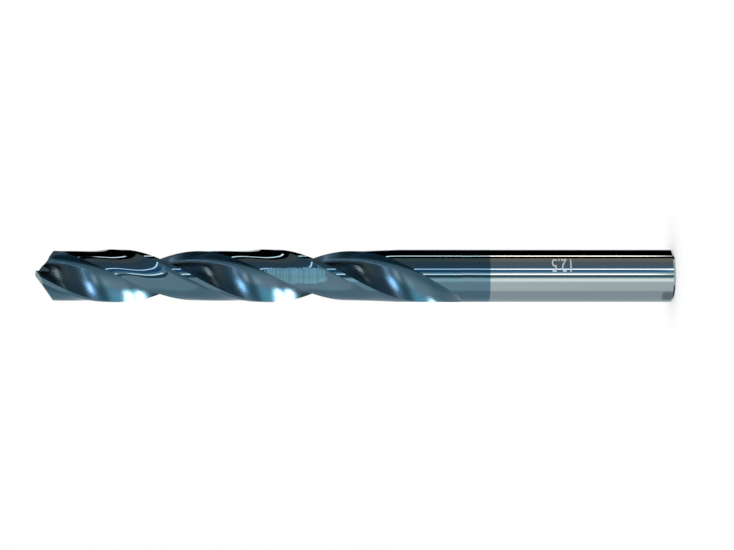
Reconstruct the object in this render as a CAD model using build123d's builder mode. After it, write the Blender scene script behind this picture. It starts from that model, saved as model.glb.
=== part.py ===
from build123d import *
import os
from math import acos, asin, atan2, ceil, cos, degrees, hypot, pi, radians, sin, sqrt, tan

# Solid carbide twist drill, two right-hand flutes, plain cylindrical shank.
# The drill stands on its shank end: origin at the centre of that face, +Z towards the point.
# Lengths are in millimetres and angles in degrees.

# Blank
shank_diameter = 12.5
back_taper_per_mm = 0.0002
overall_length = 151.0
shank_chamfer = 0.5

# Flutes
flute_count = 2
flute_length = 101.0
helix_angle = 28.5
web_at_point = 4.3
web_growth_per_mm = 0.012
flute_opening_angle = 93.0
web_contact_angle = 64.0
rake_wall_bow = 0.18
flute_floor_reach = 1.4
flute_corner_radius = 1.3
flute_runout = 15.5
edge_direction_at_point = -81.7

# Lands
margin_width = 1.05
margin_step_slope = 14.0
body_clearance = 0.32
clearance_length = 86.0
clearance_runout = 7.0

# Point
point_angle = 130.0
primary_relief = 11.0
secondary_relief = 30.0

# Web thinning
thinned_web = 0.5
thinning_lip_reach = 2.2
thinning_to_axis_angle = 30.0
thinning_direction = 45.0
thinning_notch_angle = 100.0
thinning_corner_radius = 0.3

# Spacing of the sections that the grinding cuts are lofted through, and how many times the size
# that it needs a cut has, so that it runs past the surfaces that it cuts
section_pitch = 6.0
runout_section_pitch = 1.5
overrun = 1.1

# Values worked out from the sizes above
cutting_diameter = shank_diameter + back_taper_per_mm * flute_length
cutting_radius = cutting_diameter / 2
cleared_radius = cutting_radius - body_clearance
inside_radius = cleared_radius - body_clearance
outside_radius = 1.4 * cutting_radius
past_surface = cutting_radius / 4
lead = pi * cutting_diameter / tan(radians(helix_angle))
flute_end = overall_length - flute_length
clearance_end = overall_length - clearance_length
blank_top = overall_length + 1
cut_top = overall_length + section_pitch
ON_ITS_FOOT = (Align.CENTER, Align.CENTER, Align.MIN)


def polar(radius, angle):
    return (radius * cos(radians(angle)), radius * sin(radians(angle)))


def web_radius(height):
    """Half of the web, which thickens from the point towards the shank."""
    return (web_at_point + web_growth_per_mm * (overall_length - height)) / 2


def section_plane(height, rise=0):
    """Plane across the drill, with x towards the first cutting edge, moved out by the rise."""
    edge_direction = edge_direction_at_point + 360 * (height - overall_length) / lead
    origin = (*polar(rise, edge_direction + web_contact_angle), height)
    return Plane(origin, x_dir=(*polar(1, edge_direction), 0), z_dir=(0, 0, 1))


def section_heights(end, runout):
    """Heights of a cut's sections, closer together where the wheel leaves the metal, at the end."""
    top = end + runout
    bottom = top - overrun * runout
    lower = ceil((top - bottom) / runout_section_pitch)
    upper = ceil((cut_top - top) / section_pitch)
    heights = [bottom + i * (top - bottom) / lower for i in range(lower)]
    return heights + [top + i * (cut_top - top) / upper for i in range(upper + 1)]


# The straight lip lies ahead of the drill's centre by half of the web.
lip_offset = web_radius(overall_length)
lip_reach = sqrt(cutting_radius**2 - lip_offset**2)
corner_angle = degrees(asin(lip_offset / cutting_radius))
lip_slope = 1 / tan(radians(point_angle / 2))
primary_slope = tan(radians(primary_relief))
secondary_slope = tan(radians(secondary_relief))
corner_height = overall_length + lip_offset * primary_slope - lip_reach * lip_slope
lip_direction = edge_direction_at_point + 360 * (corner_height - overall_length) / lead - corner_angle


def rake_point(share):
    """A point of the lip, rolled along the helix into the section through the lip's corner."""
    reach = share * lip_reach
    rolled = 360 * (lip_reach - reach) * lip_slope / lead
    return polar(hypot(reach, lip_offset), degrees(atan2(lip_offset, reach)) - rolled - corner_angle)


# Flute: a rake wall from the cutting edge in to the web and a little past it as a flat floor,
# a round corner, and a wall out to the heel of the next land. Towards the shank the wheel leaves
# the cut along the line of the web contact.
with BuildPart() as flute_cut:
    heel = Vector(*polar(cleared_radius, flute_opening_angle))
    flute_depth = cutting_radius - web_radius(flute_end + flute_runout)
    for height in section_heights(flute_end, flute_runout):
        leaving = max(0, flute_end + flute_runout - height) / flute_runout
        rise = flute_depth * leaving**2
        web_point = Vector(*polar(web_radius(height), web_contact_angle))
        web_normal = Vector(*polar(1, web_contact_angle))
        web_tangent = Vector(*polar(1, web_contact_angle + 90))
        floor_end = web_point + web_tangent * flute_floor_reach
        wall_middle = (Vector(*rake_point(1)) + floor_end) / 2 - web_normal * rake_wall_bow
        with BuildSketch(section_plane(height, rise)) as flute_section:
            with BuildLine():
                rake_wall = ThreePointArc(rake_point(overrun), wall_middle, floor_end)
                floor_tangent = rake_wall % 1
                floor_normal = floor_tangent.rotate(Axis.Z, -90)
                to_heel = heel - (floor_end + floor_normal * flute_corner_radius)
                heel_slope = degrees(atan2(to_heel.dot(floor_normal), to_heel.dot(floor_tangent)))
                corner_turn = 90 + heel_slope - degrees(acos(flute_corner_radius / to_heel.length))
                corner = JernArc(floor_end, floor_tangent, flute_corner_radius, -corner_turn)
                heel_wall = Line(corner @ 1, heel + (corner % 1) * past_surface)
                ThreePointArc(
                    heel_wall @ 1,
                    polar(outside_radius, flute_opening_angle / 2),
                    rake_wall @ 0,
                )
            make_face()
    loft()

# Clearance of a land: behind the margin it is ground down to a thinner round, as far as the
# flute behind it, with a sloping step at the margin. The round widens out to the land's own
# surface towards the shank.
with BuildPart() as clearance_cut:
    step_width = body_clearance / tan(radians(margin_step_slope))
    margin_sweep = margin_width / cos(radians(helix_angle)) + step_width
    floor_start = -degrees(margin_sweep / cutting_radius)
    floor_end = overrun * (flute_opening_angle - 360 / flute_count)
    for height in section_heights(clearance_end, clearance_runout):
        with BuildSketch(section_plane(height)) as clearance_section:
            with BuildLine():
                step_foot = Vector(*polar(cleared_radius, floor_start))
                uphill = Vector(*polar(past_surface, floor_start + 90 - margin_step_slope))
                step = Line(step_foot - uphill, step_foot + uphill)
                ThreePointArc(
                    step @ 1,
                    polar(outside_radius, (floor_start + floor_end) / 2),
                    polar(outside_radius, floor_end),
                )
                Line(polar(outside_radius, floor_end), polar(inside_radius, floor_end))
                Line(polar(inside_radius, floor_end), step @ 0)
            make_face()
    loft()
    with Locations((0, 0, clearance_end + clearance_runout)):
        Cylinder(cleared_radius, cut_top, align=ON_ITS_FOOT, mode=Mode.SUBTRACT)
        Cone(
            cleared_radius + overrun * body_clearance,
            cleared_radius,
            overrun * clearance_runout,
            align=(Align.CENTER, Align.CENTER, Align.MAX),
            mode=Mode.SUBTRACT,
        )

# Web thinning: a notch that shortens the chisel edge and carries the lip in to the middle.
with BuildPart() as thinning_cut:
    notch_x, notch_y = polar(thinned_web / 2, 90 - thinning_direction / 2)
    notch_axis = Vector(0, 0, 1).rotate(Axis.Y, -thinning_to_axis_angle)
    notch_axis = notch_axis.rotate(Axis.Z, thinning_direction)
    inner_lip = Vector(thinning_lip_reach - notch_x, lip_offset - notch_y, 0)
    notch_plane = Plane(
        origin=(notch_x, notch_y, overall_length),
        x_dir=inner_lip - notch_axis * inner_lip.dot(notch_axis),
        z_dir=notch_axis,
    )
    with BuildSketch(notch_plane) as notch_section:
        with BuildLine():
            Polyline(
                (0, 0),
                (cutting_diameter, 0),
                (cutting_diameter, cutting_diameter),
                polar(cutting_diameter, thinning_notch_angle),
                close=True,
            )
        make_face()
        fillet(notch_section.vertices().sort_by_distance((0, 0, 0))[0], thinning_corner_radius)
    extrude(amount=cutting_diameter, both=True)

with BuildPart() as drill_bit:
    # Round blank, whose seam runs up the middle of a land, with the fluted end tapering back
    land_middle = edge_direction_at_point - (360 / flute_count - flute_opening_angle) / 2
    top_radius = cutting_radius + back_taper_per_mm / 2 * (blank_top - overall_length)
    with Locations(Location((0, 0, 0), (0, 0, land_middle))):
        Cylinder(shank_diameter / 2, flute_end, align=ON_ITS_FOOT)
    with Locations(Location((0, 0, flute_end), (0, 0, land_middle))):
        Cone(shank_diameter / 2, top_radius, blank_top - flute_end, align=ON_ITS_FOOT)
    chamfer(drill_bit.edges().group_by(Axis.Z)[0], shank_chamfer)
    # The lands are ground clear behind their margins, then the flutes are ground
    with PolarLocations(0, flute_count):
        add(clearance_cut, mode=Mode.SUBTRACT)
    with PolarLocations(0, flute_count):
        add(flute_cut, mode=Mode.SUBTRACT)
    # Behind each lip, two facets meet in a line through the drill's axis
    for flute in range(flute_count):
        for slope in (primary_slope, secondary_slope):
            facet_normal = Vector(lip_slope, -slope, 1)
            facet_normal = facet_normal.rotate(Axis.Z, lip_direction + flute * 360 / flute_count)
            split(bisect_by=Plane((0, 0, overall_length), z_dir=facet_normal), keep=Keep.BOTTOM)
    with PolarLocations(0, flute_count, start_angle=lip_direction):
        add(thinning_cut, mode=Mode.SUBTRACT)

drill_bit.part.label = "drill_bit"
os.makedirs("parts", exist_ok=True)
export_step(drill_bit.part, "parts/drill_bit.step")
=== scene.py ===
import math

import bmesh
import bpy
from mathutils import Matrix, Vector


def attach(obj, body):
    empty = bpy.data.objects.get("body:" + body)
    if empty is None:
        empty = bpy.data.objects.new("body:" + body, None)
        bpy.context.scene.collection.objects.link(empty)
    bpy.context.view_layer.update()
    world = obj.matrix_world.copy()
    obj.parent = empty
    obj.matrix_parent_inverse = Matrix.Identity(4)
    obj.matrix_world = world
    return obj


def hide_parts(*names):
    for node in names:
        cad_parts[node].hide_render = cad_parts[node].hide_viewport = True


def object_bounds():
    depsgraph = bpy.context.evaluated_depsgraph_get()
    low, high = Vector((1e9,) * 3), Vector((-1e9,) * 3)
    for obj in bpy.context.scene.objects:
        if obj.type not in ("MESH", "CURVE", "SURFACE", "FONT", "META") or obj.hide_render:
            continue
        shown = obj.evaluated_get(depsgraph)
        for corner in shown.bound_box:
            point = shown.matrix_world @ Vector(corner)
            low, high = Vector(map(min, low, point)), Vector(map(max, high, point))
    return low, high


# A solid carbide twist drill on white. It stands on its shank end, and the camera lies on its
# side, so the point is at the left of the picture. All lengths are in metres.

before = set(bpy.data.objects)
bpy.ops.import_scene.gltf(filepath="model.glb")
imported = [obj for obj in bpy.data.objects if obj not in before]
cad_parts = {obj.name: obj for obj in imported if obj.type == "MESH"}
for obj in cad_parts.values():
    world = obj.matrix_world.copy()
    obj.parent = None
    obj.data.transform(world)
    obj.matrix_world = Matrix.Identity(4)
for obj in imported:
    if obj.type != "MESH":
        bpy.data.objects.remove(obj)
cad_low, cad_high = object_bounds()

MM = 0.001

# The drill's form, as in the CAD model, with a radius 0.002 mm less to stay inside its box
LENGTH = cad_high.z
SHANK_RADIUS = 6.248 * MM
SHANK_CHAMFER = 0.5 * MM
BACK_TAPER = 0.0001  # of the radius, for each unit of length
FLUTE_LENGTH = 101 * MM
FLUTE_RUNOUT = 15.5 * MM
FLUTE_OPENING = math.radians(93)
HELIX_ANGLE = math.radians(28.5)
EDGE_DIRECTION_AT_POINT = math.radians(-81.7)
WEB_AT_POINT = 4.3 * MM
WEB_GROWTH = 0.012
WEB_CONTACT = math.radians(64)
FLOOR_BOW = 0.18 * MM
FLOOR_REACH = 1.4 * MM
CORNER_RADIUS = 1.3 * MM
MARGIN_WIDTH = 1.05 * MM
BODY_CLEARANCE = 0.32 * MM
CLEARANCE_LENGTH = 86 * MM
CLEARANCE_RUNOUT = 7 * MM
POINT_ANGLE = math.radians(130)
PRIMARY_RELIEF = math.radians(11)
SECONDARY_RELIEF = math.radians(30)
THINNED_WEB = 0.5 * MM
THINNING_LIP_REACH = 2.2 * MM
THINNING_TO_AXIS = math.radians(30)
THINNING_DIRECTION = math.radians(45)
THINNING_NOTCH = math.radians(100)
THINNING_CORNER = 0.3 * MM

CUTTING_RADIUS = SHANK_RADIUS + BACK_TAPER * FLUTE_LENGTH
LEAD = 2 * math.pi * CUTTING_RADIUS / math.tan(HELIX_ANGLE)
FLUTE_END = LENGTH - FLUTE_LENGTH
FULL_DEPTH_END = FLUTE_END + FLUTE_RUNOUT
CLEARANCE_END = LENGTH - CLEARANCE_LENGTH
FULL_CLEARANCE_END = CLEARANCE_END + CLEARANCE_RUNOUT

# The ground land behind the margin: how steeply it falls from the margin's crease, how wide the
# hollow is in which it levels out, and the slow wave that the wheel leaves on the rest of it
CREASE_SLOPE = math.radians(20)
HOLLOW_WIDTH = 2.5 * MM
HOLLOW_POWER = 1.6
LAND_FALL = math.radians(0.55)
LAND_WAVE = math.radians(2.45)
LAND_WAVE_CREST = 4.8 * MM
LAND_WAVE_LENGTH = 5.0 * MM
LAND_WAVE_ONSET = 4

# Steps of the flute's exact curve, which runs past the drill's surface at both of its ends
FLOOR_CURVE_STEPS = 120
CORNER_CURVE_STEPS = 60
WALL_CURVE_STEPS = 40
PAST_EDGE = 1.1
PAST_HEEL_MM = 3

# The land's depth is added up in small steps away from the cutting edge
DEPTH_STEP = 0.05 * MM
DEPTH_STEPS = 240

# How finely the visible surface is divided. The rings lie closer together where a flute closes.
RING_PITCH = 0.45 * MM
RUNOUT_RINGS = 47
CLOSING_LENGTH = 1.5 * MM
CLOSING_RINGS = 14
SHANK_RINGS = 8
FLUTE_STEPS = 54
LAND_STEPS = 44
MARGIN_STEPS = 6
THINNING_CORNER_STEPS = 10
SHARP_ANGLE = math.radians(16)
ABOVE_POINT = 1 * MM
MERGE_DISTANCE = 1e-7
CUT_DISTANCE = 1e-8

# The two finishes of the surface, as the drill's material slots
LAND_FINISH, FLUTE_FINISH = 0, 1

# The photograph: its width, and where the drill lies in it
IMAGE_WIDTH_PX = 734
CAMERA_DISTANCE = 450 * MM
SENSOR_WIDTH_MM = 36
SCALE_PX_PER_MM = 4.216
CENTRE_HEIGHT = 72.31 * MM
AXIS_BELOW_CENTRE_PX = 0.75


def polar(radius, angle):
    return Vector((radius * math.cos(angle), radius * math.sin(angle)))


def spread(start, end, steps):
    """Values from start to end, in equal steps, both ends included."""
    return [start + (end - start) * i / steps for i in range(steps + 1)]


# ---- the section across the drill ----


def web_radius(height):
    return (WEB_AT_POINT + WEB_GROWTH * (LENGTH - height)) / 2


LIP_OFFSET = web_radius(LENGTH)
LIP_REACH = math.sqrt(CUTTING_RADIUS**2 - LIP_OFFSET**2)
LIP_SLOPE = 1 / math.tan(POINT_ANGLE / 2)
CORNER_ANGLE = math.asin(LIP_OFFSET / CUTTING_RADIUS)
CORNER_HEIGHT = LENGTH + LIP_OFFSET * math.tan(PRIMARY_RELIEF) - LIP_REACH * LIP_SLOPE


def edge_direction(height):
    return EDGE_DIRECTION_AT_POINT + 2 * math.pi * (height - LENGTH) / LEAD


LIP_DIRECTION = edge_direction(CORNER_HEIGHT) - CORNER_ANGLE


def rake_point(share):
    """A point of the straight lip, rolled along the helix into one section."""
    reach = share * LIP_REACH
    rolled = 2 * math.pi * (LIP_REACH - reach) * LIP_SLOPE / LEAD
    angle = math.atan2(LIP_OFFSET, reach) - rolled - CORNER_ANGLE
    return polar(math.hypot(reach, LIP_OFFSET), angle)


def arc_through(start, middle, end, steps):
    """Points on the arc from start through middle to end."""
    a, b = middle - start, end - start
    twice_area = 2 * (a.x * b.y - a.y * b.x)
    from_start = Vector((b.y * a.dot(a) - a.y * b.dot(b), a.x * b.dot(b) - b.x * a.dot(a)))
    centre = start + from_start / twice_area
    spoke, last = start - centre, end - centre
    turn = math.atan2(spoke.x * last.y - spoke.y * last.x, spoke.dot(last))
    return [centre + Matrix.Rotation(turn * t, 2) @ spoke for t in spread(0, 1, steps)]


def flute_curve(height):
    """Rake wall and flat floor from outside the cutting edge, a round corner, the heel's wall."""
    web = polar(web_radius(height), WEB_CONTACT)
    floor_end = web + polar(FLOOR_REACH, WEB_CONTACT + math.pi / 2)
    middle = (rake_point(1) + floor_end) / 2 - polar(FLOOR_BOW, WEB_CONTACT)
    floor = arc_through(rake_point(PAST_EDGE), middle, floor_end, FLOOR_CURVE_STEPS)
    along = (floor[-1] - floor[-2]).normalized()
    up = Vector((along.y, -along.x))
    heel = polar(CUTTING_RADIUS - BODY_CLEARANCE, FLUTE_OPENING)
    to_heel = heel - (floor_end + up * CORNER_RADIUS)
    heel_slope = math.atan2(to_heel.dot(up), to_heel.dot(along))
    turn = math.pi / 2 + heel_slope - math.acos(CORNER_RADIUS / to_heel.length)
    corner = []
    for a in spread(0, turn, CORNER_CURVE_STEPS):
        corner.append(floor_end + CORNER_RADIUS * (along * math.sin(a) + up * (1 - math.cos(a))))
    way_out = (heel - corner[-1]).normalized()
    wall_end = heel + way_out * PAST_HEEL_MM * MM
    wall = [corner[-1].lerp(wall_end, t) for t in spread(0, 1, WALL_CURVE_STEPS)]
    return floor + corner[1:] + wall[1:]


def crossing(inside, outside, radius):
    """Where the line from a point inside the circle to one outside it meets the circle."""
    low, high = inside.length, outside.length
    return inside.lerp(outside, (radius - low) / (high - low))


def evenly(points, steps):
    """Points at even distances along a line of points."""
    along = [0.0]
    for a, b in zip(points, points[1:]):
        along.append(along[-1] + (b - a).length)
    result, i = [], 0
    for target in spread(0, along[-1], steps):
        while i < len(points) - 2 and along[i + 1] < target:
            i += 1
        length = along[i + 1] - along[i]
        result.append(points[i].lerp(points[i + 1], (target - along[i]) / length if length else 0))
    return result


def land_slope(across):
    """How steeply the land falls, at a distance from the next cutting edge across the helix."""
    past_crease = (across - MARGIN_WIDTH) / HOLLOW_WIDTH
    if past_crease < 0:
        return 0
    hollow = CREASE_SLOPE * max(0, 1 - past_crease) ** HOLLOW_POWER
    turn = 2 * math.pi * (across - LAND_WAVE_CREST) / LAND_WAVE_LENGTH
    wave = LAND_FALL - LAND_WAVE * math.cos(turn)
    return hollow + wave * min(1, past_crease) ** LAND_WAVE_ONSET


LAND_DEPTHS = [0]
for step in range(DEPTH_STEPS):
    fall = DEPTH_STEP * math.tan(land_slope((step + 0.5) * DEPTH_STEP))
    LAND_DEPTHS.append(LAND_DEPTHS[-1] + fall)


def land_depth(across):
    """How far the land lies below the margin's round."""
    place = min(max(0, across / DEPTH_STEP), DEPTH_STEPS - 0.001)
    low = int(place)
    return LAND_DEPTHS[low] + (place - low) * (LAND_DEPTHS[low + 1] - LAND_DEPTHS[low])


def half_section(height):
    """One flute and the land behind it, with x towards the flute's cutting edge."""
    radius = SHANK_RADIUS + BACK_TAPER * max(0, height - FLUTE_END)
    cleared = min(1, max(0, (height - CLEARANCE_END) / CLEARANCE_RUNOUT))
    width = radius * math.cos(HELIX_ANGLE)
    floor = radius - cleared * land_depth((math.pi - FLUTE_OPENING) * width)
    leaving = max(0, FULL_DEPTH_END - height) / FLUTE_RUNOUT
    rise = (CUTTING_RADIUS - web_radius(FULL_DEPTH_END)) * leaving**2
    curve = [p + polar(rise, WEB_CONTACT) for p in flute_curve(height)]
    deepest = min(range(len(curve)), key=lambda i: curve[i].length)
    if curve[deepest].length < radius:
        first, last = deepest, deepest
        while curve[first - 1].length < radius:
            first -= 1
        while curve[last + 1].length < floor:
            last += 1
        edge = crossing(curve[first], curve[first - 1], radius)
        heel = crossing(curve[last], curve[last + 1], floor)
        flute = evenly([edge, *curve[first : last + 1], heel], FLUTE_STEPS)
    else:
        flute = [curve[deepest].normalized() * radius] * (FLUTE_STEPS + 1)
    edge_angle = math.atan2(flute[0].y, flute[0].x)
    heel_angle = math.atan2(flute[-1].y, flute[-1].x)

    # The land ends at the next cutting edge, half a turn on
    land_end = math.pi + edge_angle
    margin_start = land_end - MARGIN_WIDTH / width
    land = []
    for a in spread(heel_angle, margin_start, LAND_STEPS):
        land.append(polar(radius - cleared * land_depth((land_end - a) * width), a))
    margin = [polar(radius, a) for a in spread(margin_start, land_end, MARGIN_STEPS)]
    return flute + land[1:] + margin[1:-1]


def fluted_ring(height):
    """The whole section at a height: two half sections, turned along the helix."""
    half = half_section(height)
    turn = Matrix.Rotation(edge_direction(height), 2)
    return [(turn @ p).to_3d() + Vector((0, 0, height)) for p in half + [-p for p in half]]


def round_ring(pattern, radius, height):
    """A ring on a circle, at the same angles as the pattern's points."""
    return [Vector((p.x, p.y, 0)).normalized() * radius + Vector((0, 0, height)) for p in pattern]


# ---- the solid ----


def ring_heights():
    """From just above the point down to the flutes' end."""
    top = LENGTH + ABOVE_POINT
    steps = round((top - FULL_CLEARANCE_END) / RING_PITCH)
    heights = spread(top, FULL_CLEARANCE_END, steps)
    heights += spread(FULL_CLEARANCE_END, FLUTE_END + CLOSING_LENGTH, RUNOUT_RINGS)[1:]
    for share in spread(1, 0, CLOSING_RINGS)[1:-1]:
        heights.append(FLUTE_END + CLOSING_LENGTH * share**2)
    return heights


def swept_body():
    """The drill before its point is ground: rings of points, joined to a closed skin."""
    rings = [fluted_ring(height) for height in ring_heights()]
    closed = round_ring(fluted_ring(FLUTE_END), SHANK_RADIUS, FLUTE_END)
    for height in spread(FLUTE_END, SHANK_CHAMFER, SHANK_RINGS):
        rings.append(round_ring(closed, SHANK_RADIUS, height))
    rings.append(round_ring(closed, SHANK_RADIUS - SHANK_CHAMFER, 0))
    body = bmesh.new()
    rows = [[body.verts.new(p) for p in ring] for ring in rings]
    count = len(rows[0])
    for upper, lower in zip(rows, rows[1:]):
        for i in range(count):
            j = (i + 1) % count
            face = body.faces.new((upper[i], lower[i], lower[j], upper[j]))
            in_flute = i % (count // 2) < FLUTE_STEPS and upper[i].co.z > FLUTE_END
            face.material_index = FLUTE_FINISH if in_flute else LAND_FINISH
    body.faces.new(rows[0])
    body.faces.new(rows[-1][::-1])
    bmesh.ops.remove_doubles(body, verts=body.verts, dist=MERGE_DISTANCE)
    bmesh.ops.dissolve_degenerate(body, edges=body.edges, dist=MERGE_DISTANCE)
    return body


def grind_facets(body):
    """Behind each lip, a primary and a secondary facet meet in a line through the axis."""
    for side in (0, math.pi):
        for relief in (PRIMARY_RELIEF, SECONDARY_RELIEF):
            normal = Vector((LIP_SLOPE, -math.tan(relief), 1)).normalized()
            normal.rotate(Matrix.Rotation(LIP_DIRECTION + side, 3, "Z"))
            cut = bmesh.ops.bisect_plane(
                body,
                geom=body.verts[:] + body.edges[:] + body.faces[:],
                dist=CUT_DISTANCE,
                plane_co=(0, 0, LENGTH),
                plane_no=normal,
                clear_outer=True,
            )
            rim = [g for g in cut["geom_cut"] if isinstance(g, bmesh.types.BMEdge)]
            for face in bmesh.ops.edgenet_fill(body, edges=rim)["faces"]:
                face.material_index = FLUTE_FINISH
    bmesh.ops.recalc_face_normals(body, faces=body.faces)


def thinning_wedge(side):
    """The notch of the web thinning, as a long bar with a rounded V along its lower edge."""
    half_way = math.pi / 2 - THINNING_DIRECTION / 2
    corner = polar(THINNED_WEB / 2, half_way)
    axis = Vector((0, 0, 1))
    axis.rotate(Matrix.Rotation(-THINNING_TO_AXIS, 3, "Y"))
    axis.rotate(Matrix.Rotation(THINNING_DIRECTION, 3, "Z"))
    lip = Vector((THINNING_LIP_REACH - corner.x, LIP_OFFSET - corner.y, 0))
    across = (lip - axis * lip.dot(axis)).normalized()
    up = axis.cross(across)
    origin = Vector((corner.x, corner.y, LENGTH))
    # The V's two sides, and the arc that rounds its corner
    size = 2 * CUTTING_RADIUS
    inset = THINNING_CORNER / math.tan(THINNING_NOTCH / 2)
    centre = Vector((inset, THINNING_CORNER))
    profile = [
        centre + polar(THINNING_CORNER, a)
        for a in spread(THINNING_NOTCH - 1.5 * math.pi, -math.pi / 2, THINNING_CORNER_STEPS)
    ]
    profile += [Vector((size, 0)), Vector((size, size)), polar(size, THINNING_NOTCH)]
    bar = bmesh.new()
    ends = []
    for reach in (-size, size):
        end = [origin + across * p.x + up * p.y + axis * reach for p in profile]
        ends.append([bar.verts.new(p) for p in end])
    bar.faces.new(ends[0][::-1])
    bar.faces.new(ends[1])
    for i in range(len(profile)):
        j = (i + 1) % len(profile)
        bar.faces.new((ends[0][i], ends[0][j], ends[1][j], ends[1][i]))
    bmesh.ops.rotate(bar, verts=bar.verts, matrix=Matrix.Rotation(LIP_DIRECTION + side, 3, "Z"))
    bmesh.ops.recalc_face_normals(bar, faces=bar.faces)
    for face in bar.faces:
        face.material_index = FLUTE_FINISH
    return mesh_object("thinning_wedge", bar)


def mesh_object(name, built):
    """A finished mesh as an object in the scene."""
    mesh = bpy.data.meshes.new(name)
    built.to_mesh(mesh)
    built.free()
    obj = bpy.data.objects.new(name, mesh)
    bpy.context.scene.collection.objects.link(obj)
    return obj


def make_drill(finishes):
    """Sweeps the drill, grinds its point and thins its web."""
    body = swept_body()
    grind_facets(body)
    drill = mesh_object("ground_drill", body)
    wedges = [thinning_wedge(side) for side in (0, math.pi)]
    for obj in (drill, *wedges):
        for finish in finishes:
            obj.data.materials.append(finish)
    for wedge in wedges:
        cut = drill.modifiers.new("thinning", "BOOLEAN")
        cut.operation = "DIFFERENCE"
        cut.solver = "EXACT"
        cut.object = wedge
    shaped = drill.evaluated_get(bpy.context.evaluated_depsgraph_get())
    drill.data = bpy.data.meshes.new_from_object(shaped)
    drill.modifiers.clear()
    for wedge in wedges:
        bpy.data.objects.remove(wedge)
    for face in drill.data.polygons:
        face.use_smooth = True
    drill.data.set_sharp_from_angle(angle=SHARP_ANGLE)
    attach(drill, "root")
    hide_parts("drill_bit")


# ---- size mark ----

# Plain numbers on the shank, as thin faces a hair above it. Seen in the picture the mark stands on
# its head, with its foot towards the picture's top.
MARK_TEXT = "12.5"
MARK_START = 24.4 * MM
MARK_WIDTH = 4.6 * MM
MARK_HEIGHT = 3.4 * MM
MARK_FOOT_ANGLE = math.radians(39)
MARK_PROUD = 0.007 * MM
MARK_ROWS = 24


def make_mark(material):
    """The numbers as thin faces, laid round the shank."""
    font = bpy.data.curves.new("size_mark_text", "FONT")
    font.body = MARK_TEXT
    flat = bpy.data.objects.new("size_mark_text", font)
    bpy.context.scene.collection.objects.link(flat)
    shaped = flat.evaluated_get(bpy.context.evaluated_depsgraph_get())
    built = bmesh.new()
    built.from_mesh(shaped.to_mesh())
    bpy.data.objects.remove(flat)
    left, right = min(v.co.x for v in built.verts), max(v.co.x for v in built.verts)
    foot, top = min(v.co.y for v in built.verts), max(v.co.y for v in built.verts)
    for level in spread(foot, top, MARK_ROWS)[1:-1]:
        geometry = built.verts[:] + built.edges[:] + built.faces[:]
        bmesh.ops.bisect_plane(built, geom=geometry, plane_co=(0, level, 0), plane_no=(0, 1, 0))
    for vert in built.verts:
        z = MARK_START + MARK_WIDTH * (vert.co.x - left) / (right - left)
        turned = MARK_FOOT_ANGLE - MARK_HEIGHT * (vert.co.y - foot) / (top - foot) / SHANK_RADIUS
        place = polar(SHANK_RADIUS + MARK_PROUD, turned - math.pi / 2)
        vert.co = (place.x, place.y, z)
    bmesh.ops.recalc_face_normals(built, faces=built.faces)
    for face in built.faces:
        face.smooth = True
        if face.normal.dot(face.calc_center_median() * Vector((1, 1, 0))) < 0:
            face.normal_flip()
    mark = mesh_object("size_mark", built)
    mark.data.materials.append(material)
    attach(mark, "root")


# ---- materials ----

# The coat ends on the shank at this height, on a line that isn't quite straight
COAT_END = 43.4 * MM
COAT_LINE_WIDTH = 0.12 * MM
COAT_LINE_WOBBLE = 0.3 * MM
COAT_COLOUR = (0.10, 0.16, 0.21)
COAT_TINT = (0.08, 0.165, 0.205)
BARE_COLOUR = (0.30, 0.355, 0.365)

# The lands and the shank are ground bright, the flutes and the point less finely
LAND_ROUGHNESS = 0.05
FLUTE_ROUGHNESS = 0.26
FLUTE_ROUGHNESS_SPREAD = 0.05

# A scuffed place on the land that faces the camera, and a patch of painted shade near the shank's
# end
SCUFF_CENTRE = (0.05 * MM, -6.0 * MM, 89.3 * MM)
SCUFF_SIZE = (1.95 * MM, 3.0 * MM, 7.6 * MM)
SCUFF_COLOUR = (0.17, 0.36, 0.43)
SCUFF_ROUGHNESS = 0.40
PAINTED_SHADE_CENTRE = (-5.0 * MM, -4.1 * MM, 1.5 * MM)
PAINTED_SHADE_SIZE = (1.5 * MM, 2.2 * MM, 1.7 * MM)
PAINTED_SHADE_COLOUR = (0.10, 0.11, 0.115)
PAINTED_SHADE_SHARE = 0.75

# How ragged the edges of those two are, and how soft the edge of the painted shade is
SCUFF_RAGGED = 1.6
PAINTED_SHADE_RAGGED = 1.5
PAINTED_SHADE_SOFT = 1.2

# Waves of the noise to the metre, along each axis
COAT_LINE_WAVES = (110, 110, 0)
CLOUD_WAVES = (450, 450, 150)
LAND_MARK_WAVES = (120, 120, 7000)
FLUTE_MARK_WAVES = (5000, 5000, 90)
SCUFF_EDGE_WAVES = (500, 500, 2600)
SCUFF_LINE_WAVES = (60, 60, 4200)
ETCHED_WAVES = (6000, 6000, 6000)

# How deep the marks of grinding and etching look
LAND_MARK_DEPTH = 0.15 * 0.001 * MM
FLUTE_MARK_DEPTH = 0.5 * 0.001 * MM
ETCHED_DEPTH = 0.004 * MM

# The size mark, etched by laser
ETCHED_DARK, ETCHED_PALE = (0.5, 0.57, 0.6), (0.75, 0.82, 0.85)
ETCHED_METAL = 0.4
ETCHED_ROUGHNESS = (0.5, 0.7)

# The floor, and how much more of it a camera ray sees
FLOOR_COLOUR = (0.85, 0.85, 0.85, 1)
FLOOR_ROUGHNESS = 0.9
FLOOR_LIFT = 0.25
WHITE = (1, 1, 1, 1)


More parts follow.
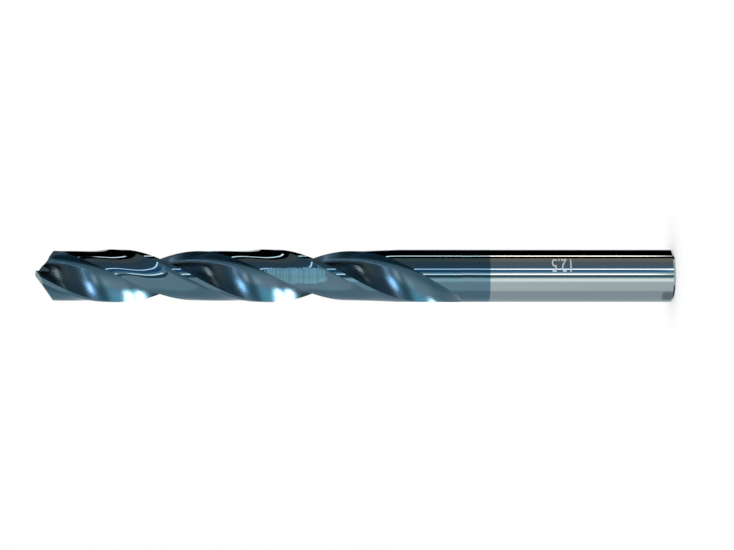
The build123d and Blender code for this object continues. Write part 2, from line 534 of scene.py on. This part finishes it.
class Nodes:
    """A short way to add and link the nodes of one node tree."""

    def __init__(self, tree):
        self.tree = tree

    def add(self, kind, **inputs):
        node = self.tree.nodes.new(kind)
        for name, value in inputs.items():
            self.set(node, name.replace("_", " "), value)
        return node

    def put(self, socket, value):
        """Links an output to the socket, or writes a plain value in it."""
        if isinstance(value, bpy.types.NodeSocket):
            self.tree.links.new(value, socket)
        else:
            socket.default_value = value

    def set(self, node, name, value):
        self.put(node.inputs[name], value)

    def math(self, operation, *values):
        node = self.tree.nodes.new("ShaderNodeMath")
        node.operation = operation
        for socket, value in zip(node.inputs, values):
            self.put(socket, value)
        return node.outputs[0]

    def vector(self, operation, value, other):
        node = self.tree.nodes.new("ShaderNodeVectorMath")
        node.operation = operation
        self.put(node.inputs[0], value)
        self.put(node.inputs[1], other)
        return node.outputs[0]

    def level(self, share, low, high):
        """From low to high as the share goes from 0 to 1."""
        node = self.add("ShaderNodeMapRange", Value=share, To_Min=low, To_Max=high)
        return node.outputs["Result"]

    def ramp(self, value, low, high):
        """0 below low and 1 above high, smooth between them."""
        node = self.add("ShaderNodeMapRange")
        node.interpolation_type = "SMOOTHSTEP"
        self.set(node, "Value", value)
        self.set(node, "From Min", low)
        self.set(node, "From Max", high)
        return node.outputs["Result"]

    def mix(self, share, first, second):
        node = self.tree.nodes.new("ShaderNodeMix")
        node.data_type = "RGBA"
        self.put(node.inputs[0], share)
        for socket, colour in ((node.inputs[6], first), (node.inputs[7], second)):
            self.put(socket, (*colour, 1) if isinstance(colour, tuple) else colour)
        return node.outputs[2]


def new_material(name):
    material = bpy.data.materials.new(name)
    material.use_nodes = True
    return material, Nodes(material.node_tree), material.node_tree.nodes["Principled BSDF"]


def noise(nodes, place, stretch, detail=2.0, rough=0.6):
    """Noise from 0 to 1, with so many waves to the metre along each axis of the place."""
    waves = nodes.vector("MULTIPLY", place, stretch)
    texture = nodes.add(
        "ShaderNodeTexNoise", Vector=waves, Scale=1.0, Detail=detail, Roughness=rough
    )
    return texture.outputs["Fac"]


def untwisted(nodes, place):
    """The place turned back along the helix, so that it stays the same along a flute."""
    x, y, z = nodes.add("ShaderNodeSeparateXYZ", Vector=place).outputs
    turn = nodes.math("MULTIPLY", z, -2 * math.pi / LEAD)
    cosine, sine = nodes.math("COSINE", turn), nodes.math("SINE", turn)
    x_cosine, y_sine = nodes.math("MULTIPLY", x, cosine), nodes.math("MULTIPLY", y, sine)
    x_sine, y_cosine = nodes.math("MULTIPLY", x, sine), nodes.math("MULTIPLY", y, cosine)
    turned_x = nodes.math("SUBTRACT", x_cosine, y_sine)
    turned_y = nodes.math("ADD", x_sine, y_cosine)
    return nodes.add("ShaderNodeCombineXYZ", X=turned_x, Y=turned_y, Z=z).outputs[0]


def patch(nodes, place, centre, size, ragged, depth, soft=0.3):
    """1 in a rounded box about a centre and 0 outside, with a soft edge that the noise tears."""
    apart = nodes.vector("DIVIDE", nodes.vector("SUBTRACT", place, centre), size)
    total = 0
    for share in nodes.add("ShaderNodeSeparateXYZ", Vector=apart).outputs:
        total = nodes.math("ADD", total, nodes.math("POWER", nodes.math("ABSOLUTE", share), 4))
    torn = nodes.math("MULTIPLY", nodes.math("SUBTRACT", ragged, 0.5), depth)
    edge = nodes.math("ADD", total, torn)
    return nodes.math("SUBTRACT", 1, nodes.ramp(edge, 1 - soft, 1.0))


def ground_colour(nodes, place, cloud):
    """Bare carbide at the shank's end, and the coat above an edge that isn't quite straight."""
    wobble = nodes.math("SUBTRACT", noise(nodes, place, COAT_LINE_WAVES), 0.5)
    z = nodes.add("ShaderNodeSeparateXYZ", Vector=place).outputs["Z"]
    line = nodes.math("ADD", z, nodes.math("MULTIPLY", wobble, COAT_LINE_WOBBLE))
    coated = nodes.ramp(line, COAT_END - COAT_LINE_WIDTH, COAT_END + COAT_LINE_WIDTH)
    coat = nodes.mix(nodes.ramp(cloud, 0.3, 0.7), COAT_COLOUR, COAT_TINT)
    return nodes.mix(coated, BARE_COLOUR, coat)


def carbide_material(name, finish):
    """Ground carbide, bright on the lands and the shank, duller and finely scored in the flutes."""
    material, nodes, shader = new_material(name)
    place = nodes.add("ShaderNodeTexCoord").outputs["Object"]
    along_flute = untwisted(nodes, place)
    cloud = noise(nodes, along_flute, CLOUD_WAVES, 3, 0.5)
    colour = ground_colour(nodes, place, cloud)
    if finish == LAND_FINISH:
        # Marks of the grinding wheel run round the drill
        marks = noise(nodes, place, LAND_MARK_WAVES)
        relief = LAND_MARK_DEPTH
        comb = noise(nodes, place, SCUFF_EDGE_WAVES, 1)
        scuff = patch(nodes, place, SCUFF_CENTRE, SCUFF_SIZE, comb, SCUFF_RAGGED)
        # The darker patch near the shank's end is painted shade, not a stain on the metal
        painted_shade = patch(
            nodes, place, PAINTED_SHADE_CENTRE, PAINTED_SHADE_SIZE, cloud, PAINTED_SHADE_RAGGED, PAINTED_SHADE_SOFT
        )
        lines = nodes.ramp(noise(nodes, place, SCUFF_LINE_WAVES, 1), 0.35, 0.65)
        scuffed = nodes.math("MULTIPLY", scuff, nodes.level(lines, 0.4, 1))
        colour = nodes.mix(scuffed, colour, SCUFF_COLOUR)
        shade_share = nodes.math("MULTIPLY", painted_shade, PAINTED_SHADE_SHARE)
        colour = nodes.mix(shade_share, colour, PAINTED_SHADE_COLOUR)
        roughness = nodes.level(scuff, LAND_ROUGHNESS, SCUFF_ROUGHNESS)
    else:
        # Marks of the flute's wheel run along the helix
        marks = noise(nodes, along_flute, FLUTE_MARK_WAVES)
        relief = FLUTE_MARK_DEPTH
        smooth = FLUTE_ROUGHNESS - FLUTE_ROUGHNESS_SPREAD
        roughness = nodes.level(cloud, smooth, FLUTE_ROUGHNESS + FLUTE_ROUGHNESS_SPREAD)
    bump = nodes.add("ShaderNodeBump", Strength=1.0, Distance=relief, Height=marks)
    nodes.set(shader, "Metallic", 1)
    nodes.set(shader, "Base Color", colour)
    nodes.set(shader, "Roughness", roughness)
    nodes.set(shader, "Normal", bump.outputs["Normal"])
    return material


def mark_material():
    """Laser-etched metal: pale and matt, and slightly uneven."""
    material, nodes, shader = new_material("etched_mark")
    place = nodes.add("ShaderNodeTexCoord").outputs["Object"]
    grain = noise(nodes, place, ETCHED_WAVES, 3)
    nodes.set(shader, "Metallic", ETCHED_METAL)
    nodes.set(shader, "Base Color", nodes.mix(grain, ETCHED_DARK, ETCHED_PALE))
    nodes.set(shader, "Roughness", nodes.level(grain, *ETCHED_ROUGHNESS))
    bump = nodes.add("ShaderNodeBump", Distance=ETCHED_DEPTH, Height=grain)
    nodes.set(shader, "Normal", bump.outputs["Normal"])
    return material


def floor_material():
    """Pale and matt. A camera ray sees it lifted to white, and it keeps the shadow."""
    material, nodes, shader = new_material("pale_floor")
    nodes.set(shader, "Base Color", FLOOR_COLOUR)
    nodes.set(shader, "Roughness", FLOOR_ROUGHNESS)
    nodes.set(shader, "Emission Color", WHITE)
    seen = nodes.add("ShaderNodeLightPath").outputs["Is Camera Ray"]
    nodes.set(shader, "Emission Strength", nodes.math("MULTIPLY", seen, FLOOR_LIFT))
    return material


def panel_material(name, colour, strength, soft_across, soft_along):
    """Light of one colour, which fades out to nothing at the panel's edges."""
    material = bpy.data.materials.new(name)
    material.use_nodes = True
    tree = material.node_tree
    tree.nodes.clear()
    nodes = Nodes(tree)
    across_panel = nodes.add("ShaderNodeTexCoord").outputs["UV"]
    place = nodes.add("ShaderNodeSeparateXYZ", Vector=across_panel)
    shares = []
    for axis, soft in (("X", soft_across), ("Y", soft_along)):
        from_middle = nodes.math("ABSOLUTE", nodes.math("SUBTRACT", place.outputs[axis], 0.5))
        shares.append(nodes.ramp(nodes.math("SUBTRACT", 0.5, from_middle), 0, soft))
    light = nodes.add("ShaderNodeEmission", Color=(*colour, 1), Strength=strength)
    clear = nodes.add("ShaderNodeBsdfTransparent")
    blend = tree.nodes.new("ShaderNodeMixShader")
    tree.links.new(nodes.math("MULTIPLY", *shares), blend.inputs[0])
    tree.links.new(clear.outputs[0], blend.inputs[1])
    tree.links.new(light.outputs[0], blend.inputs[2])
    surface = nodes.add("ShaderNodeOutputMaterial").inputs["Surface"]
    tree.links.new(blend.outputs[0], surface)
    return material


# ---- stage, lights and camera ----

ROOM_CENTRE = Vector((0, 0, LENGTH / 2))
FLOOR_HALF_WIDTH = 6
PANEL_COLUMNS, PANEL_ROWS = 16, 24

# Azimuth and elevation, in degrees, along the line at which the slanted strips end
LAMP_ENDS = ((17, 31), (-6, 9), (-40, -3), (-62, -14), (-79, -21))


def direction(azimuth, elevation):
    """Azimuth is turned from the camera's side towards the picture's top, both in degrees."""
    a, e = math.radians(azimuth), math.radians(elevation)
    return Vector((math.sin(a) * math.cos(e), -math.cos(a) * math.cos(e), math.sin(e)))


def ceiling(azimuth):
    """The elevation at which a slanted strip ends."""
    if azimuth >= LAMP_ENDS[0][0]:
        return LAMP_ENDS[0][1]
    for (a, high), (b, low) in zip(LAMP_ENDS, LAMP_ENDS[1:]):
        if azimuth >= b:
            return low + (high - low) * (azimuth - b) / (a - b)
    return LAMP_ENDS[-1][1]


def strip(
    name,
    start,
    end,
    colour,
    strength=1,
    soft=2,
    low=-50,
    high=50,
    slanted=False,
    peak=0,
    distance=3.0,
):
    """A light panel or a dark flag along the drill, which only its reflections show.

    It reaches from the start to the end in azimuth and from low to high in elevation, or up to
    the slanting line. Its top falls by the peak towards both sides. It fades out over the soft
    width at each edge. All of these are in degrees, and its distance is in metres.
    """
    built = bmesh.new()
    uv_layer = built.loops.layers.uv.new()
    bmesh.ops.create_grid(built, x_segments=PANEL_COLUMNS, y_segments=PANEL_ROWS, size=1)
    for face in built.faces:
        for loop in face.loops:
            loop[uv_layer].uv = (loop.vert.co.xy + Vector((1, 1))) / 2
    for vert in built.verts:
        azimuth = start + (end - start) * (vert.co.x + 1) / 2
        top = min(high, ceiling(azimuth)) if slanted else high
        top -= peak * abs(vert.co.x)
        elevation = low + (top - low) * (vert.co.y + 1) / 2
        vert.co = ROOM_CENTRE + direction(azimuth, elevation) * distance
    obj = mesh_object(name, built)
    soft_across, soft_along = soft / (end - start), soft / (high - low)
    obj.data.materials.append(panel_material(name, colour, strength, soft_across, soft_along))
    obj.visible_camera = False
    obj.visible_diffuse = False
    obj.visible_shadow = False


def make_panels():
    # Above the camera's height in the picture, seen in the drill's upper half
    strip("top_flag", 66, 152, (0.0, 0.0, 0.0), soft=1, distance=3.4)
    strip("side_flag", 30, 67, (0.22, 0.25, 0.28), soft=1, distance=3.5)
    strip("side_flag_blue", 31, 47, (0.17, 0.27, 0.37), soft=3, distance=3.4)
    strip("side_flag_brown", 62, 84, (0.36, 0.31, 0.27), soft=3, distance=3.3)
    strip("line_top", 93.5, 98.5, (1.25, 1.0, 0.88), 6.5, soft=1.5, low=-11, high=11)
    strip("spot_top", 91, 100, (1.2, 0.95, 0.8), 1.6, soft=4, low=-30, high=-16)
    strip("line_side", 26.5, 31, (1.05, 1.0, 1.08), 4.5, soft=1.5)
    # Towards the camera
    strip("blue_gap", 8, 28, (0.11, 0.30, 0.53), soft=2, slanted=True, distance=3.3)
    strip("pale_gap", 7, 17, (0.55, 0.9, 1.0), soft=4, slanted=True, distance=3.2)
    strip("line_camera", 4, 9, (1.35, 1.05, 0.98), 5, soft=1.5, low=-11, high=11)
    strip("camera_flag", -9, 4, (0.11, 0.24, 0.28), soft=2, slanted=True, distance=3.1)
    # Below, seen in the lower half
    strip("front_band", -30, -8, (1, 1.02, 1), 1.9, soft=8, low=-13, slanted=True, distance=3.2)
    strip("front_fill", -76, -8, (1, 1, 1.02), 1.2, soft=18, low=-16, high=10, distance=3.4)
    strip("low_side", -176, -62, (0.68, 0.74, 0.79), soft=16, distance=3.6)
    # Windows and dark corners low down and high up, which only the flutes show
    strip("front_dark", -20, 14, (0.25, 0.42, 0.5), soft=4, low=-60, high=-11, distance=3.15)
    glow = (0.8, 1.6, 1.8)
    strip("window_glow", -56, -10, glow, soft=12, low=-60, high=-12, slanted=True, distance=3.1)
    strip("window_near", -72, -56, (1, 1, 1), 38, soft=4, low=-60, high=-10, slanted=True, peak=10)
    strip("window_far", -96, -81, (1, 1, 1), 38, soft=4, low=-60, high=-11, peak=10)
    strip("low_flag", -160, -102, (0.1, 0.17, 0.17), soft=6, low=-70, high=-13, distance=3.2)
    strip("stripe_low", 20, 33, (0.65, 0.8, 1.1), 17, soft=4, low=-35, high=-10)
    strip("side_dark", 30, 92, (0.15, 0.19, 0.23), soft=5, low=-60, high=-12, distance=3.15)
    strip("high_flag", -176, 31, (0.36, 0.5, 0.56), soft=6, low=13, high=55, distance=3.3)
    strip("point_flag", -178, 178, (0.25, 0.26, 0.28), soft=3, low=50, high=88, distance=3.6)


def make_floor():
    built = bmesh.new()
    bmesh.ops.create_grid(built, x_segments=1, y_segments=1, size=FLOOR_HALF_WIDTH)
    floor = mesh_object("floor", built)
    floor.data.materials.append(floor_material())
    floor.visible_glossy = False


def make_world():
    world = bpy.data.worlds.new("white_room")
    world.use_nodes = True
    bpy.context.scene.world = world
    background = world.node_tree.nodes["Background"]
    background.inputs["Color"].default_value = WHITE
    background.inputs["Strength"].default_value = 1


def make_camera():
    data = bpy.data.cameras.new("camera")
    data.sensor_width = SENSOR_WIDTH_MM
    data.lens = SCALE_PX_PER_MM * CAMERA_DISTANCE / MM * SENSOR_WIDTH_MM / IMAGE_WIDTH_PX
    data.clip_start = 10 * MM
    camera = bpy.data.objects.new("camera", data)
    bpy.context.scene.collection.objects.link(camera)
    up_shift = AXIS_BELOW_CENTRE_PX / SCALE_PX_PER_MM * MM
    right, up, back = Vector((0, 0, -1)), Vector((1, 0, 0)), Vector((0, -1, 0))
    turn = Matrix((right, up, back)).transposed().to_4x4()
    camera.matrix_world = Matrix.Translation((up_shift, -CAMERA_DISTANCE, CENTRE_HEIGHT)) @ turn
    bpy.context.scene.camera = camera


land_finish = carbide_material("ground_land", LAND_FINISH)
flute_finish = carbide_material("ground_flute", FLUTE_FINISH)
make_drill([land_finish, flute_finish])
make_mark(mark_material())
make_floor()
make_world()
make_panels()
make_camera()
bpy.context.scene.view_settings.view_transform = "Standard"
